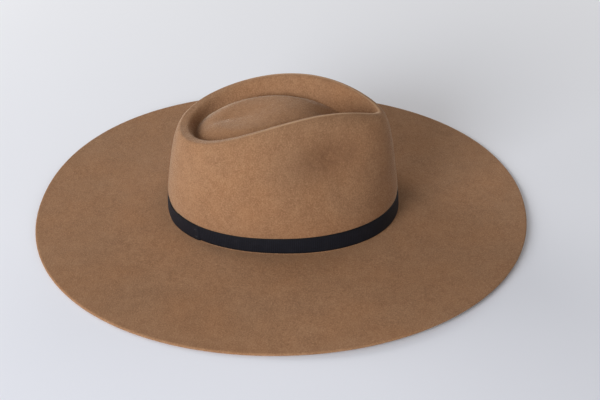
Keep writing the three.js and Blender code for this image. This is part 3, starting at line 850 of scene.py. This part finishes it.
def bow_knot(material):
    """The short wrap over the waist of the bow, ribbed across."""
    phi = np.linspace(REAR - KNOT_HALF_ANGLE, REAR + KNOT_HALF_ANGLE, 25)
    across = (phi - REAR) / KNOT_HALF_ANGLE
    turn = np.linspace(0, math.tau, 56, endpoint=False)
    squarer = 0.6
    round_x = np.sign(np.cos(turn)) * np.abs(np.cos(turn)) ** squarer
    round_z = np.sign(np.sin(turn)) * np.abs(np.sin(turn)) ** squarer
    swell = np.sqrt(np.maximum(0.02, 1 - across ** 4))[:, None]
    ribs = 1 + 0.05 * np.cos(12 * np.pi * round_z)
    inset = KNOT_INSET + KNOT_DEPTH / 2 * (1 + round_x * ribs * swell)
    height = BOW_HEIGHT + KNOT_HALF_HEIGHT * round_z * (0.9 + 0.1 * swell)
    strip("rear_bow_wrap", phi, inset, height, material, ("rear_bow_knot",),
          attributes=weave_lines(phi, KNOT_HALF_HEIGHT * round_z))


def blank_label(material):
    """A plain woven tab whose ends curl a little; there is nothing written on it."""
    height = label_high[2] - label_low[2]
    phi = np.linspace(*LABEL_SPAN, 61)
    across = np.linspace(-1, 1, 61)[:, None]
    depth, up = rounded_section(LABEL_THICKNESS, height, 24)
    hem = LABEL_HEM * (np.abs(across) > 0.93) * (depth > LABEL_THICKNESS / 2)
    inset = LABEL_INSET + depth + hem + LABEL_CURL * across ** 6
    strip("size_label_woven", phi, inset, label_low[2] + up + 0 * inset, material,
          ("size_label",), attributes=weave_lines(phi, up))


# ------------------------------------------------------------------ stage

def stage():
    """A pale floor with painted light, lighter towards its far side; a dim even surrounding and three soft
    lights.
    """
    floor_finish = Finish("studio_floor", Roughness=0.9, Specular_IOR_Level=0.1)
    place = floor_finish.place()
    depth = floor_finish.node("ShaderNodeSeparateXYZ", {"Vector": place}).outputs["X"]
    # Painted light: the floor is lighter towards its far side.
    colour = floor_finish.mix(floor_finish.remap(depth, -0.3, 0.5), rgb(233, 233, 238), rgb(250, 250, 252))
    paper = floor_finish.noise(place, 400, 2)
    colour = floor_finish.mix(floor_finish.remap(paper, 0.3, 0.7, 0, 0.04), colour, rgb(200, 200, 208))
    mesh = bpy.data.meshes.new("studio_floor")
    reach = 6.0
    corners = [(-reach, -reach, 0), (reach, -reach, 0), (reach, reach, 0), (-reach, reach, 0)]
    mesh.from_pydata(corners, [], [(0, 1, 2, 3)])
    mesh.materials.append(floor_finish.done(colour))
    floor = bpy.data.objects.new("studio_floor", mesh)
    bpy.context.scene.collection.objects.link(floor)

    world = bpy.data.worlds.new("studio")
    world.use_nodes = True
    world.node_tree.nodes["Background"].inputs["Color"].default_value = rgb(244, 243, 243)
    world.node_tree.nodes["Background"].inputs["Strength"].default_value = 0.33
    bpy.context.scene.world = world
    soft_light("key_softbox", azimuth=-120, elevation=20, distance=2.0, size=1.2, watts=39,
               colour=(0.95, 1.0, 1.07))
    soft_light("back_window", azimuth=150, elevation=20, distance=2.0, size=1.2, watts=18)
    soft_light("front_window", azimuth=50, elevation=18, distance=2.0, size=1.2, watts=9.5)


def soft_light(name, azimuth, elevation, distance, size, watts, colour=(1, 1, 1)):
    """A round area light that looks at the hat. Azimuth 0 is the front of the hat, 90 its +X side."""
    azimuth, elevation = math.radians(azimuth), math.radians(elevation)
    level = math.cos(elevation)
    towards = Vector((math.sin(azimuth) * level, -math.cos(azimuth) * level, math.sin(elevation)))
    light = bpy.data.lights.new(name, "AREA")
    light.shape = "DISK"
    light.size = size
    light.energy = watts
    light.color = colour
    lamp = bpy.data.objects.new(name, light)
    lamp.location = towards * distance
    lamp.rotation_euler = towards.to_track_quat("Z", "Y").to_euler()
    bpy.context.scene.collection.objects.link(lamp)


def camera():
    """Looks down at the wearer's right side from a little in front of it."""
    azimuth, elevation, roll = math.radians(-90 + 4.5), math.radians(34.4), math.radians(-0.9)
    sensor, distance = 36, 1.0
    target = Vector((0.009, -0.0164, 0.0))
    back = Vector((math.sin(azimuth) * math.cos(elevation),
                   -math.cos(azimuth) * math.cos(elevation), math.sin(elevation)))
    data = bpy.data.cameras.new("camera")
    data.sensor_width = sensor
    data.lens = 1099.3 / 600 * sensor
    cam = bpy.data.objects.new("camera", data)
    right = (-back).cross(Vector((0, 0, 1))).normalized()
    up = right.cross(-back)
    right, up = (right * math.cos(roll) + up * math.sin(roll), up * math.cos(roll) - right * math.sin(roll))
    rotation = Matrix((right, up, back)).transposed()
    cam.matrix_world = Matrix.Translation(target + back * distance) @ rotation.to_4x4()
    bpy.context.scene.collection.objects.link(cam)
    bpy.context.scene.camera = cam


camera()
stage()
bpy.context.scene.view_settings.view_transform = "Standard"

grosgrain = ribbon_finish("black_grosgrain", rgb(10, 12, 18), rgb(34, 36, 48))
bow_grosgrain = ribbon_finish("bow_grosgrain", rgb(24, 23, 27), rgb(46, 45, 52))
woven_tape = woven_finish("woven_tape", rgb(88, 62, 44), rgb(52, 35, 25), 0.8)
brown_thread = thread_finish("brown_thread", rgb(96, 66, 44), rgb(58, 38, 26))
felt_body(felt_finish())
hat_band(grosgrain)
band_tacks(thread_finish("black_thread", rgb(15, 15, 20), rgb(7, 7, 9)))
sweatband(leather_finish())
seam_backing(woven_tape)
seam_thread(brown_thread)
reed(plastic_finish())
reed_tape(woven_tape)
stitching(brown_thread)
bow_loop(1, bow_grosgrain, ("rear_bow_loops",))
bow_loop(-1, bow_grosgrain, ())
bow_knot(bow_grosgrain)
blank_label(woven_finish("label_weave", rgb(208, 199, 182), rgb(170, 160, 142), 0.5))
